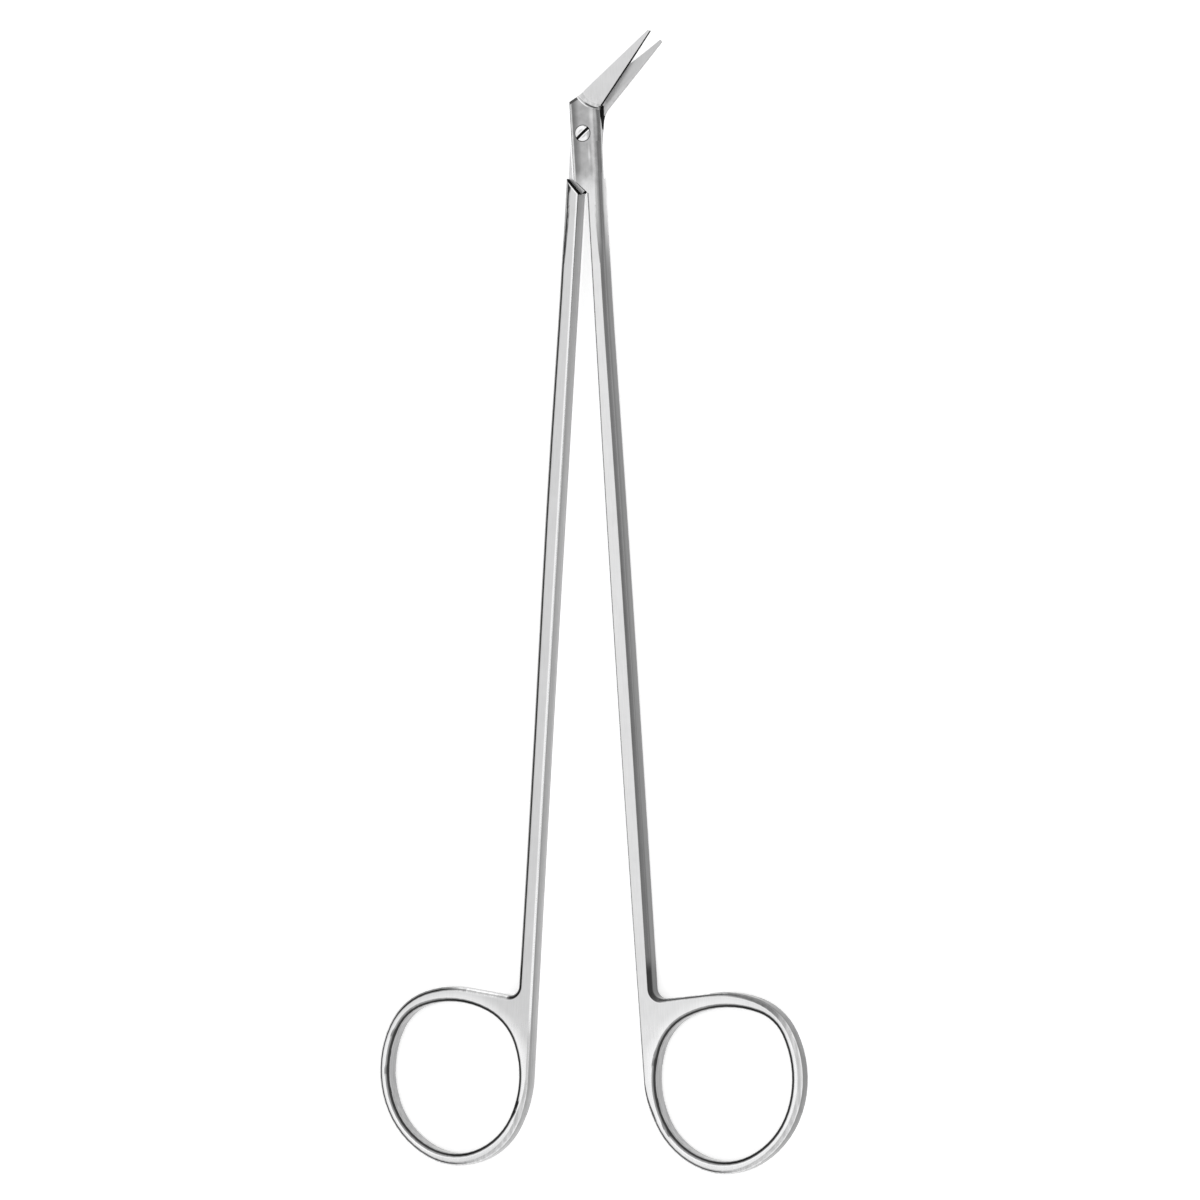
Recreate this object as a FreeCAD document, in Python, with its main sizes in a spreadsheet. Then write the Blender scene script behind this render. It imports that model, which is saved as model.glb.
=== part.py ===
# Vascular scissors with angled blades, in three pieces: two forged and ground halves
# that lap over each other at the joint, and the slotted screw they turn on.
#
# Row frame: origin on the screw's axis at the plane the instrument lies on,
# +Y along the shanks towards the blades, +Z out of the table.
# Each half is drawn with its lapped face at height 0 and its finger ring on the +X side.
# The front half is then lifted to the lap, the back half is turned over onto it.
import FreeCAD, Part
import math
import os

doc = FreeCAD.newDocument("vascular_scissors")
V = FreeCAD.Vector

# Named sizes
SIZES = [
    # whole instrument
    ("stock_thickness", 3.7),          # shanks, rings and the two lapped layers together
    ("rest_opening", 7.6),             # angle between the halves as they lie, in degrees
    ("lap_clearance", 0.015),          # each lapped face stands back by this from the joint plane
    # screw and its seats
    ("screw_shank_dia", 2.0),
    ("screw_head_dia", 2.8),
    ("screw_head_cone", 0.45),
    ("screw_head_rim", 0.12),
    ("screw_head_dome", 0.14),
    ("screw_slot_width", 0.42),
    ("screw_slot_depth", 0.38),
    ("screw_slot_angle", 42.0),
    ("screw_end_chamfer", 0.12),
    ("screw_end_inset", 0.05),
    ("pivot_clearance", 0.03),         # between the screw and the front half, at the radius
    ("seat_clearance", 0.01),          # between the screw and the back half, at the radius
    # rounding of the edges, changing along the handle
    ("joint_side_round", 1.2),
    ("ring_edge_round", 0.85),
    ("inner_edge_round", 0.38),
    ("crook_round", 1.7),
    # lap joint, the same on both halves
    ("lap_head_y", 4.4),
    ("slant_outer_y", -7.1),
    ("slant_inner_y", -10.0),
    ("shoulder_outer_y", -7.75),
    ("shoulder_inner_y", -10.2),
    ("overlap_x", 1.3),                # how far the blade layer reaches into the handle
    ("overlap_y", 3.6),
    ("edge_break", 0.16),              # small bevel along the shoulder and the slanting end
    ("crown_x", -0.25),                # the joint's face slopes away outside this line
    ("crown_radius", 12.0),
    # finger rings and their holes: each is eight arcs, one towards every eighth of a turn
    ("handle_length", 159.0),          # from the screw to the middle of the rings
    ("ring_reach", 13.7),              # from the screw's line out to the middle of the rings
    ("front_ring_shift_x", 0.70),
    ("front_ring_shift_y", 0.03),
    ("front_ring_bend_right", 17.35),
    ("front_ring_bend_upper_right", 11.04),
    ("front_ring_bend_top", 18.23),
    ("front_ring_bend_upper_left", 9.90),
    ("front_ring_bend_lower_left", 14.50),
    ("front_ring_bend_lower_right", 16.04),
    ("front_hole_shift_x", 0.80),
    ("front_hole_shift_y", -0.19),
    ("front_hole_bend_right", 16.33),
    ("front_hole_bend_upper_right", 6.99),
    ("front_hole_bend_top", 16.72),
    ("front_hole_bend_upper_left", 9.13),
    ("front_hole_bend_lower_left", 11.92),
    ("front_hole_bend_lower_right", 13.03),
    ("back_ring_shift_x", -0.74),
    ("back_ring_shift_y", 0.44),
    ("back_ring_bend_right", 17.35),
    ("back_ring_bend_upper_right", 11.17),
    ("back_ring_bend_top", 16.26),
    ("back_ring_bend_upper_left", 10.43),
    ("back_ring_bend_lower_left", 12.36),
    ("back_ring_bend_lower_right", 15.69),
    ("back_hole_shift_x", -0.85),
    ("back_hole_shift_y", 0.215),
    ("back_hole_bend_right", 15.78),
    ("back_hole_bend_upper_right", 7.92),
    ("back_hole_bend_top", 15.01),
    ("back_hole_bend_upper_left", 9.49),
    ("back_hole_bend_lower_left", 11.37),
    ("back_hole_bend_lower_right", 12.99),
    ("front_top_slope", 3.5),          # fall of the line from ring top to crook, degrees
    ("back_top_slope", 5.0),
    # shank sides as distances from the screw's plane, at the stations below
    ("front_inner_joint", 0.10),
    ("front_inner_upper", -0.05),
    ("front_inner_middle", -0.14),
    ("front_outer_head", 2.90),
    ("front_outer_joint", 2.52),
    ("front_outer_upper", 2.42),
    ("front_outer_middle", 2.68),
    ("front_outer_ring", 2.80),
    ("back_inner_joint", 0.205),
    ("back_inner_upper", 0.135),
    ("back_inner_middle", 0.02),
    ("back_outer_head", 2.82),
    ("back_outer_joint", 2.64),
    ("back_outer_upper", 2.58),
    ("back_outer_middle", 2.54),
    ("back_outer_ring", 2.2),
    # stations along the shanks: the first from the screw, the others as shares of the handle
    ("station_joint", -12.0),
    ("station_turn", -22.0),           # from here to the joint the edges' rounding grows
    ("station_upper_share", 0.24),
    ("station_middle_share", 0.485),
    # blades
    ("blade_root_thickness", 0.885),
    ("blade_fall", 1.9),               # slope of the blade face towards the tip, degrees
    ("scoop_radius", 5.2),
    ("scoop_cove", 1.2),
    ("scoop_reach", 17.0),
    ("front_scoop_x", 3.90),
    ("front_scoop_y", 8.88),
    ("back_scoop_x", -3.72),
    ("back_scoop_y", 8.77),
    ("blade_heading", 45.0),
    ("edge_bevel_angle", 84.0),
    ("edge_land", 0.10),
    ("bevel_start", 0.15),
    ("hollow_depth", 0.12),
    ("hollow_radius", 9.0),
    ("hollow_root_x", 2.2),
    ("hollow_root_y", 6.2),
    ("hollow_tip_x", 11.6),
    ("hollow_tip_y", 15.6),
    ("relief_radius", 0.42),           # groove under the front heel, running out downwards
    ("relief_depth", 0.42),
    ("relief_top_x", -2.34),
    ("relief_top_y", 4.72),
    ("relief_foot_x", -2.83),
    ("relief_foot_y", 0.90),
    # front blade and block outline
    ("front_block_side", -2.70),
    ("front_block_side_head", -2.64),
    ("front_head_y", 5.12),
    ("front_neck_x", -0.68),
    ("front_neck_y", 6.08),
    ("front_back_x", 0.55),
    ("front_back_y", 7.235),
    ("front_tip_back_x", 12.20),
    ("front_tip_back_y", 16.28),
    ("front_tip_edge_x", 12.62),
    ("front_tip_edge_y", 16.10),
    ("front_heel_x", 3.22),
    ("front_heel_y", 4.36),
    # back blade and block outline, distances turned over with the half
    ("back_block_side", -2.66),
    ("back_elbow_x", -2.70),
    ("back_elbow_y", 3.35),
    ("elbow_round", 4.0),
    ("back_tip_back_x", -12.38),
    ("back_tip_back_y", 15.93),
    ("back_tip_edge_x", -12.08),
    ("back_tip_edge_y", 16.28),
    ("back_edge_start_x", 0.20),
    ("back_edge_start_y", 6.90),
    ("back_edge_radius", 100.0),
    ("back_heel_x", 2.3),
    ("back_heel_y", 4.3),
    ("back_neck_x", 0.60),
    ("back_neck_y", 5.80),
]

sheet = doc.addObject("Spreadsheet::Sheet", "sizes")
VALUES = {}
for row, (word, number) in enumerate(SIZES, start=1):
    sheet.set("A%d" % row, word)
    sheet.set("B%d" % row, repr(float(number)))
    sheet.setAlias("B%d" % row, word)
    VALUES[word] = float(number)
doc.recompute()


def size(word):
    return VALUES[word]


def ref(text):
    """Expression text in which each size's word points to its cell."""
    out = []
    for piece in text.replace("(", " ( ").replace(")", " ) ").split():
        out.append("sizes." + piece if piece in VALUES else piece)
    return " ".join(out)


def bind(obj, path, text):
    obj.setExpression(path, ref(text))


# Small helpers
def origin_plane(body, role):
    for feature in body.Origin.OriginFeatures:
        if feature.Role == role:
            return feature
    raise RuntimeError("no plane " + role)


def new_sketch(body, name, role, height=None):
    sketch = body.newObject("Sketcher::SketchObject", name)
    sketch.AttachmentSupport = [(origin_plane(body, role), "")]
    sketch.MapMode = "FlatFace"
    if height is not None:
        bind(sketch, "AttachmentOffset.Base.z", height)
    return sketch


def evaluate(text):
    names = dict(VALUES)
    total = 0.0
    sign = 1.0
    for token in text.split():
        if token == "+":
            sign = 1.0
        elif token == "-":
            sign = -1.0
        else:
            if "*" in token:
                a, b = token.split("*")
                number = (names.get(a) if a in names else float(a))
                number *= (names.get(b) if b in names else float(b))
            elif "/" in token:
                a, b = token.split("/")
                number = (names.get(a) if a in names else float(a)) / float(b)
            else:
                number = names.get(token) if token in names else float(token)
            total += sign * number
            sign = 1.0
    return total


def spaced(text):
    return text.replace("*", " * ").replace("/", " / ")


def outline(sketch, corners, arcs=None):
    """Closed outline through named corners; arcs maps a side's number to (radius, bulge)."""
    import Sketcher
    arcs = arcs or {}
    points = [V(evaluate(x), evaluate(y), 0) for x, y in corners]
    count = len(points)
    ids = []
    for i in range(count):
        a = points[i]
        b = points[(i + 1) % count]
        if i in arcs:
            radius, side = arcs[i]
            r = evaluate(radius)
            chord = b - a
            half = chord.Length / 2
            rise = r - math.sqrt(r * r - half * half)
            normal = V(-chord.y, chord.x, 0).normalize() * side
            middle = (a + b) * 0.5 + normal * rise
            ids.append(sketch.addGeometry(Part.Arc(a, middle, b), False))
        else:
            ids.append(sketch.addGeometry(Part.LineSegment(a, b), False))

    def ends(i):
        if i in arcs and arcs[i][1] > 0:
            return 2, 1
        return 1, 2

    for i in range(count):
        j = (i + 1) % count
        sketch.addConstraint(Sketcher.Constraint("Coincident", ids[i], ends(i)[1], ids[j], ends(j)[0]))
    for i, (x, y) in enumerate(corners):
        for kind, text, number in (("DistanceX", x, points[i].x), ("DistanceY", y, points[i].y)):
            index = sketch.addConstraint(
                Sketcher.Constraint(kind, -1, 1, ids[i], ends(i)[0], number))
            bind(sketch, "Constraints[%d]" % index, spaced(text))
    for i, (radius, side) in arcs.items():
        index = sketch.addConstraint(Sketcher.Constraint("Radius", ids[i], evaluate(radius)))
        bind(sketch, "Constraints[%d]" % index, spaced(radius))
    return ids


def edge_names(shape, test):
    names = []
    for number, edge in enumerate(shape.Edges, start=1):
        middle = edge.valueAt((edge.FirstParameter + edge.LastParameter) / 2)
        if test(edge, middle):
            names.append("Edge%d" % number)
    return names


def make_feature(kind, name, **links):
    obj = doc.addObject(kind, name)
    for key, value in links.items():
        setattr(obj, key, value)
    return obj


# Handle plan
BENDS = ["right", "upper_right", "top", "upper_left", "left", "lower_left", "bottom", "lower_right"]
EIGHTH = math.pi / 4


def bearing(angle):
    return V(math.cos(angle), math.sin(angle), 0)


class Oval:
    """Closed outline of eight arcs that run smoothly into each other.

    Each arc spans an eighth of a turn of the outline's normal. Six radii are named sizes,
    those of the left and bottom arcs close the outline.
    """

    def __init__(self, prefix):
        self.radii = []
        open_end = V(0, 0, 0)
        spans = []
        for number, word in enumerate(BENDS):
            span = bearing((number + 0.5) * EIGHTH) - bearing((number - 0.5) * EIGHTH)
            spans.append(span)
            if word in ("left", "bottom"):
                self.radii.append(0.0)
                continue
            radius = size(prefix + "_bend_" + word)
            self.radii.append(radius)
            open_end = open_end + span * radius
        left, bottom = spans[4], spans[6]
        whole = left.x * bottom.y - left.y * bottom.x
        self.radii[4] = (-open_end.x * bottom.y + open_end.y * bottom.x) / whole
        self.radii[6] = (-left.x * open_end.y + left.y * open_end.x) / whole
        self.centres = [V(0, 0, 0)]
        for number in range(7):
            step = self.radii[number] - self.radii[number + 1]
            self.centres.append(self.centres[-1] + bearing((number + 0.5) * EIGHTH) * step)
        middle = V((self.at(0).x + self.at(math.pi).x) / 2,
                   (self.at(math.pi / 2).y + self.at(-math.pi / 2).y) / 2, 0)
        place = V(size("ring_reach") + size(prefix + "_shift_x"),
                  size(prefix + "_shift_y") - size("handle_length"), 0)
        self.centres = [centre + place - middle for centre in self.centres]

    def at(self, angle):
        """Point whose outward normal has this bearing."""
        number = int(math.floor(angle / EIGHTH + 0.5)) % 8
        return self.centres[number] + bearing(angle) * self.radii[number]

    def arc(self, first, last):
        """Part of the outline inside one eighth, between two bearings of its normal."""
        middle = (first + last) / 2
        number = int(math.floor(middle / EIGHTH + 0.5)) % 8
        centre, radius = self.centres[number], self.radii[number]
        ends = [centre + bearing(angle) * radius for angle in (first, middle, last)]
        return Part.Arc(*ends).toShape()

    def arcs(self, first, last):
        """Arcs from one bearing of the normal on to another, split at the eighths."""
        cuts = [first]
        number = math.floor(first / EIGHTH + 0.5 + 1e-6) + 0.5
        while number * EIGHTH < last - 1e-6:
            cuts.append(number * EIGHTH)
            number += 1
        cuts.append(last)
        return [self.arc(a, b) for a, b in zip(cuts, cuts[1:])]


def arc_onward(start, way, end):
    """Arc that leaves the start in the given direction, and its direction at the end."""
    chord = end - start
    side = V(-way.y, way.x, 0)
    radius = chord.dot(chord) / (2 * chord.dot(side))
    centre = start + side * radius
    half = (chord * 0.5 + start - centre).normalize() * abs(radius)
    left = end - centre
    turned = V(-left.y, left.x, 0) * (1 / radius)
    return Part.Arc(start, centre + half, end).toShape(), turned


def split_edge(edge, point):
    """The two parts of an edge before and after a point beside it."""
    place = edge.Curve.parameter(point)
    return (edge.Curve.toShape(edge.FirstParameter, place),
            edge.Curve.toShape(place, edge.LastParameter))


def arc_onto(start, way, oval, number):
    """Arc that leaves the start in the given direction and runs smoothly into an oval's arc.

    Also gives the bearing of the oval's normal where they meet.
    """
    centre, bend = oval.centres[number], oval.radii[number]
    side = V(-way.y, way.x, 0)
    away = start - centre
    radius = (bend * bend - away.dot(away)) / (2 * (away.dot(side) + bend))
    middle = start + side * radius
    towards = (middle - centre) * (1 / (bend - radius))
    meeting = centre + towards * bend
    curve, _ = arc_onward(start, way, meeting)
    angle = math.atan2(towards.y, towards.x)
    return curve, angle if angle > 0 else angle + 2 * math.pi


def handle_plan(half):
    """Edges of one handle's outline, each with the rounding at its two ends."""
    ring = Oval(half + "_ring")
    head = size("lap_head_y")
    joint = size("station_joint")
    upper, middle = [-size("handle_length") * size("station_%s_share" % word)
                     for word in ("upper", "middle")]
    # inner side: straight from the head to the upper station, then bending to the ring
    nose = size("slant_inner_y")
    near = V(size(half + "_inner_joint"), nose, 0)
    far = V(size(half + "_inner_upper"), upper, 0)
    top_end = near + (near - far) * ((head - nose) / (nose - upper))
    way = (far - near).normalize()
    inner_high = Part.LineSegment(top_end, far).toShape()
    station = V(size(half + "_inner_middle"), middle, 0)
    inner_middle, way = arc_onward(far, way, station)
    inner_low, start = arc_onto(station, way, ring, 4)
    slope = math.radians(size(half + "_top_slope"))
    top_point = ring.at(math.pi / 2 + slope)
    # crook: an arc between the line from the ring's top and the shank's outer side
    r = size("crook_round")
    wall = size(half + "_outer_ring")
    # the line rises towards +X, the centre stands r above it and r outside the wall
    cx = wall + r
    line_y = top_point.y + (cx - top_point.x) * math.tan(slope)
    cy = line_y + r / math.cos(slope)
    centre = V(cx, cy, 0)
    on_wall = V(wall, cy, 0)
    on_line = centre + V(math.sin(slope), -math.cos(slope), 0) * r
    middle_way = (on_wall - centre + on_line - centre).normalize()
    crook = Part.Arc(on_line, centre + middle_way * r, on_wall).toShape()
    top_line = Part.LineSegment(top_point, on_line).toShape()
    # outer side: upwards from the crook in arcs that run into each other
    side_low, way = arc_onward(on_wall, V(0, 1, 0), V(size(half + "_outer_middle"), middle, 0))
    side_middle, way = arc_onward(V(size(half + "_outer_middle"), middle, 0), way,
                                  V(size(half + "_outer_upper"), upper, 0))
    side_high, way = arc_onward(V(size(half + "_outer_upper"), upper, 0), way,
                                V(size(half + "_outer_joint"), joint, 0))
    turn = V(size(half + "_outer_joint"), size("station_turn"), 0)
    side_upper, side_high = split_edge(side_high, turn)
    corner = V(size(half + "_outer_head"), head, 0)
    lap_side, way = arc_onward(V(size(half + "_outer_joint"), joint, 0), way, corner)
    cap = Part.LineSegment(corner, top_end).toShape()
    # ring: from the inner side, round the bottom and the outside, to the top
    turning = 4.5 * EIGHTH
    rs = size("ring_edge_round")
    ri = size("inner_edge_round")
    rj = size("joint_side_round")
    plan = [(inner_high, ri, ri),
            (inner_middle, ri, ri),
            (inner_low, ri, ri),
            (ring.arc(start, turning), ri, rs)]
    for arc in ring.arcs(turning, 2 * math.pi + math.pi / 2 + slope):
        plan.append((arc, rs, rs))
    plan += [(top_line, rs, rs),
             (crook, rs, rs),
             (side_low, rs, rs),
             (side_middle, rs, rs),
             (side_upper, rs, rs),
             (side_high, rs, rj),
             (lap_side, rj, rj),
             (cap, 0.0, 0.0)]
    return plan


def middle_of(edge):
    return edge.valueAt((edge.FirstParameter + edge.LastParameter) / 2)


def make_handle(half):
    plan = handle_plan(half)
    wire = Part.Wire(Part.__sortEdges__([item[0] for item in plan]))
    hole_plan = Oval(half + "_hole")
    hole = Part.Wire(hole_plan.arcs(0.0, 2 * math.pi))
    face = Part.makeFace([wire, hole], "Part::FaceMakerBullseye")
    flat = doc.addObject("Part::Feature", half + "_handle_plan")
    flat.Shape = face
    solid = doc.addObject("Part::Extrusion", half + "_handle_blank")
    solid.Base = flat
    solid.DirMode = "Custom"
    solid.Dir = V(0, 0, 1)
    solid.Solid = True
    bind(solid, "LengthFwd", "stock_thickness / 2")
    bind(solid, "LengthRev", "stock_thickness / 2")
    doc.recompute()
    shape = solid.Shape
    rounded = doc.addObject("Part::Fillet", half + "_handle")
    rounded.Base = solid
    level = size("stock_thickness") / 2
    picks = []
    for number, edge in enumerate(shape.Edges, start=1):
        middle = middle_of(edge)
        if abs(abs(middle.z) - level) > 1e-4:
            continue
        here = V(middle.x, middle.y, 0)
        chosen = None
        for item, first, last in plan:
            if here.distanceToPoint(item.valueAt((item.FirstParameter + item.LastParameter) / 2)) < 0.02:
                chosen = (item, first, last)
                break
        if chosen is None:
            if here.distanceToPoint(hole_plan.centres[0]) < 40:
                picks.append((number, size("ring_edge_round"), size("ring_edge_round")))
            continue
        item, first, last = chosen
        if first == 0:
            continue
        # the item's own ends against the edge's ends
        start = edge.valueAt(edge.FirstParameter)
        a = item_start(item, plan)
        if V(start.x, start.y, 0).distanceToPoint(a) < 0.01:
            picks.append((number, first, last))
        else:
            picks.append((number, last, first))
    rounded.Edges = picks
    doc.recompute()
    return rounded


def item_start(item, plan):
    """The end of the plan edge that touches the edge listed before it."""
    order = [entry[0] for entry in plan]
    index = next(i for i, e in enumerate(order) if e.isSame(item))
    before = order[index - 1]
    ends = [item.valueAt(item.FirstParameter), item.valueAt(item.LastParameter)]
    others = [before.valueAt(before.FirstParameter), before.valueAt(before.LastParameter)]
    return min(ends, key=lambda p: min(p.distanceToPoint(q) for q in others))


# Lapped blocks and blades
def make_blank(half, corners, arcs, elbow=None):
    """The lapped layer of a half: joint block and blade, drawn on the joint plane."""
    body = doc.addObject("PartDesign::Body", half + "_blade_blank")
    plan = new_sketch(body, half + "_blade_plan", "XY_Plane", "lap_clearance")
    outline(plan, corners, arcs)
    pad = body.newObject("PartDesign::Pad", half + "_blade_pad")
    pad.Profile = plan
    bind(pad, "Length", "stock_thickness / 2 - lap_clearance")
    plan.Visibility = False
    doc.recompute()
    last = pad
    if elbow is not None:
        ex, ey = elbow
        names = edge_names(pad.Shape, lambda e, m: abs(m.x - ex) < 1e-3 and abs(m.y - ey) < 1e-3)
        bend = body.newObject("PartDesign::Fillet", half + "_elbow")
        bend.Base = (last, names)
        bind(bend, "Radius", "elbow_round")
        doc.recompute()
        last = bend
    side = size(half + "_block_side")
    level = size("stock_thickness") / 2

    def on_side(e, m):
        flat = abs(m.z - level) < 1e-4
        return flat and m.x < side + 0.45 and abs(m.y) < 4 and e.Length > 3.0

    names = edge_names(last.Shape, on_side)
    round_side = body.newObject("PartDesign::Fillet", half + "_block_side_round")
    round_side.Base = (last, names)
    bind(round_side, "Radius", "joint_side_round")
    doc.recompute()
    return body


def make_scoop(half, side):
    """Ground recess of the blade's face: round at the joint, falling towards the tip."""
    body = doc.addObject("PartDesign::Body", half + "_scoop")
    plan = new_sketch(body, half + "_scoop_plan", "XY_Plane")
    import Sketcher
    r = size("scoop_radius")
    reach = size("scoop_reach")
    bow = plan.addGeometry(Part.Arc(V(0, r, 0), V(-r, 0, 0), V(0, -r, 0)), False)
    low = plan.addGeometry(Part.LineSegment(V(0, -r, 0), V(reach, -r, 0)), False)
    far = plan.addGeometry(Part.LineSegment(V(reach, -r, 0), V(reach, r, 0)), False)
    top = plan.addGeometry(Part.LineSegment(V(reach, r, 0), V(0, r, 0)), False)
    con = Sketcher.Constraint
    plan.addConstraint(con("Coincident", bow, 3, -1, 1))
    plan.addConstraint(con("Coincident", bow, 2, low, 1))
    plan.addConstraint(con("Coincident", low, 2, far, 1))
    plan.addConstraint(con("Coincident", far, 2, top, 1))
    plan.addConstraint(con("Coincident", top, 2, bow, 1))
    plan.addConstraint(con("Horizontal", low))
    plan.addConstraint(con("Horizontal", top))
    plan.addConstraint(con("Vertical", far))
    plan.addConstraint(con("PointOnObject", low, 1, -2))
    index = plan.addConstraint(con("Radius", bow, r))
    bind(plan, "Constraints[%d]" % index, "scoop_radius")
    index = plan.addConstraint(con("DistanceX", -1, 1, low, 2, reach))
    bind(plan, "Constraints[%d]" % index, "scoop_reach")
    pad = body.newObject("PartDesign::Pad", half + "_scoop_pad")
    pad.Profile = plan
    bind(pad, "Length", "stock_thickness / 2")
    plan.Visibility = False
    doc.recompute()
    names = edge_names(pad.Shape, lambda e, m: abs(m.z) < 1e-6 and m.x < reach - 1)
    cove = body.newObject("PartDesign::Fillet", half + "_scoop_cove")
    cove.Base = (pad, names)
    bind(cove, "Radius", "scoop_cove")
    heading = size("blade_heading") if side > 0 else 180 - size("blade_heading")
    turn = FreeCAD.Rotation(V(0, 0, 1), heading).multiply(
        FreeCAD.Rotation(V(0, 1, 0), size("blade_fall")))
    body.Placement = FreeCAD.Placement(
        V(size(half + "_scoop_x"), size(half + "_scoop_y"), size("blade_root_thickness")), turn)
    bind(body, "Placement.Base.x", half + "_scoop_x")
    bind(body, "Placement.Base.y", half + "_scoop_y")
    bind(body, "Placement.Base.z", "blade_root_thickness")
    doc.recompute()
    return body


def make_bevel(half, start, end, outside):
    """Box whose lower face is the ground bevel along a cutting edge."""
    box = doc.addObject("Part::Box", half + "_edge_bevel")
    along = end - start
    reach = along.Length
    way = along.normalize()
    box.Length = reach + 2.0 - size("bevel_start")
    box.Width = 3.0
    box.Height = 3.0
    # the bevel rises steeply from the edge, leaning over the blade
    inward = V(-way.y, way.x, 0) * (-outside)
    angle = math.radians(size("edge_bevel_angle"))
    rise = inward * math.cos(angle) + V(0, 0, 1) * math.sin(angle)
    normal = V(0, 0, 1) * math.cos(angle) - inward * math.sin(angle)
    x_axis = rise.cross(normal)
    frame = FreeCAD.Matrix(x_axis.x, rise.x, normal.x, 0,
                           x_axis.y, rise.y, normal.y, 0,
                           x_axis.z, rise.z, normal.z, 0,
                           0, 0, 0, 1)
    base = start + way * size("bevel_start") if x_axis.dot(way) > 0 else end + way * 2.0
    base = base + V(0, 0, size("lap_clearance") + size("edge_land"))
    box.Placement = FreeCAD.Placement(base, FreeCAD.Rotation(frame))
    bind(box, "Placement.Base.z", "lap_clearance + edge_land")
    return box


def make_hollow(half, side):
    """Long shallow hollow ground into the blade's inner face, running out at the tip."""
    rod = doc.addObject("Part::Cylinder", half + "_hollow")
    root = V(size("hollow_root_x") * side, size("hollow_root_y"), 0)
    tip = V(size("hollow_tip_x") * side, size("hollow_tip_y"), 0)
    way = tip - root
    reach = way.Length
    way.normalize()
    fall = math.atan2(size("hollow_depth"), reach)
    axis = way * math.cos(fall) - V(0, 0, 1) * math.sin(fall)
    normal = way * math.sin(fall) + V(0, 0, 1) * math.cos(fall)
    crown = V(root.x, root.y, size("lap_clearance") + size("hollow_depth"))
    bind(rod, "Radius", "hollow_radius")
    rod.Height = reach + 2.0
    rod.Placement = FreeCAD.Placement(crown - normal * size("hollow_radius"),
                                      FreeCAD.Rotation(V(0, 0, 1), axis))
    return rod


def make_crown(half):
    """What is ground off the joint's outer face so that it slopes away to its free side."""
    block = doc.addObject("Part::Box", half + "_crown_block")
    wide = "0 - %s_block_side + 1" % half
    bind(block, "Length", wide + " + crown_x")
    bind(block, "Width", "lap_head_y + 3 - slant_inner_y")
    bind(block, "Height", "stock_thickness / 2")
    bind(block, "Placement.Base.x", "%s_block_side - 1" % half)
    bind(block, "Placement.Base.y", "slant_inner_y - 0.2")
    bind(block, "Placement.Base.z", "stock_thickness / 4")
    rod = doc.addObject("Part::Cylinder", half + "_crown_rod")
    bind(rod, "Radius", "crown_radius")
    rod.Height = 60.0
    rod.Placement = FreeCAD.Placement(V(size("crown_x"), 30.0, 0),
                                      FreeCAD.Rotation(V(1, 0, 0), 90))
    bind(rod, "Placement.Base.x", "crown_x")
    bind(rod, "Placement.Base.z", "stock_thickness / 2 - crown_radius")
    return make_feature("Part::Cut", half + "_crown", Base=block, Tool=rod)


def make_relief():
    """Groove in the back half's lapped face beside the front heel, running out downwards."""
    rod = doc.addObject("Part::Cylinder", "back_heel_relief")
    top = point("relief_top_x", "relief_top_y") + V(0, 0, size("relief_depth"))
    foot = point("relief_foot_x", "relief_foot_y")
    way = top - foot
    bind(rod, "Radius", "relief_radius")
    rod.Height = way.Length
    low = V(0, 0, -size("relief_radius"))
    rod.Placement = FreeCAD.Placement(foot + low, FreeCAD.Rotation(V(0, 0, 1), way))
    return rod


def make_lap_space(half):
    """What the other half's layer takes out of the handle above its slanting shoulder."""
    body = doc.addObject("PartDesign::Body", half + "_lap_space")
    plan = new_sketch(body, half + "_lap_plan", "XY_Plane")
    outer = half + "_outer_joint"
    inner = half + "_inner_joint"
    # the shoulder's line is carried on past both walls
    fall = "shoulder_inner_y"
    slope = (size("shoulder_outer_y") - size(fall)) / (size(outer) - size(inner))
    left = size(inner) - 2.0
    right = size(outer) + 1.0
    y_left = size(fall) - 2.0 * slope
    y_right = size("shoulder_outer_y") + 1.0 * slope
    outline(plan, [(repr(left), repr(y_left)), (repr(right), repr(y_right)),
                   (repr(right), "lap_head_y + 1.0"), (repr(left), "lap_head_y + 1.0")])
    pad = body.newObject("PartDesign::Pad", half + "_lap_pad")
    pad.Profile = plan
    bind(pad, "Length", "stock_thickness")
    plan.Visibility = False
    body.Placement = FreeCAD.Placement(V(0, 0, -size("stock_thickness")), FreeCAD.Rotation())
    bind(body, "Placement.Base.z", "lap_clearance - stock_thickness")
    doc.recompute()
    return body


FRONT_CORNERS = [
    ("front_block_side", "slant_outer_y"),
    ("front_inner_joint", "slant_inner_y"),
    ("overlap_x", "slant_inner_y"),
    ("overlap_x", "overlap_y"),
    ("front_heel_x", "front_heel_y"),
    ("front_tip_edge_x", "front_tip_edge_y"),
    ("front_tip_back_x", "front_tip_back_y"),
    ("front_back_x", "front_back_y"),
    ("front_neck_x", "front_neck_y"),
    ("front_block_side_head", "front_head_y"),
]
BACK_CORNERS = [
    ("back_block_side", "slant_outer_y"),
    ("back_inner_joint", "slant_inner_y"),
    ("overlap_x", "slant_inner_y"),
    ("overlap_x", "overlap_y"),
    ("back_heel_x", "back_heel_y"),
    ("back_neck_x", "back_neck_y"),
    ("back_edge_start_x", "back_edge_start_y"),
    ("back_tip_edge_x", "back_tip_edge_y"),
    ("back_tip_back_x", "back_tip_back_y"),
    ("back_elbow_x", "back_elbow_y"),
]


def point(x, y):
    return V(size(x), size(y), 0)


def round_tool(name, kind, **cells):
    """Cylinder or cone on the screw's axis, its sizes and height bound to the sheet."""
    tool = doc.addObject("Part::" + kind, name)
    for path, text in cells.items():
        bind(tool, path.replace("__", "."), text)
    return tool


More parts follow.
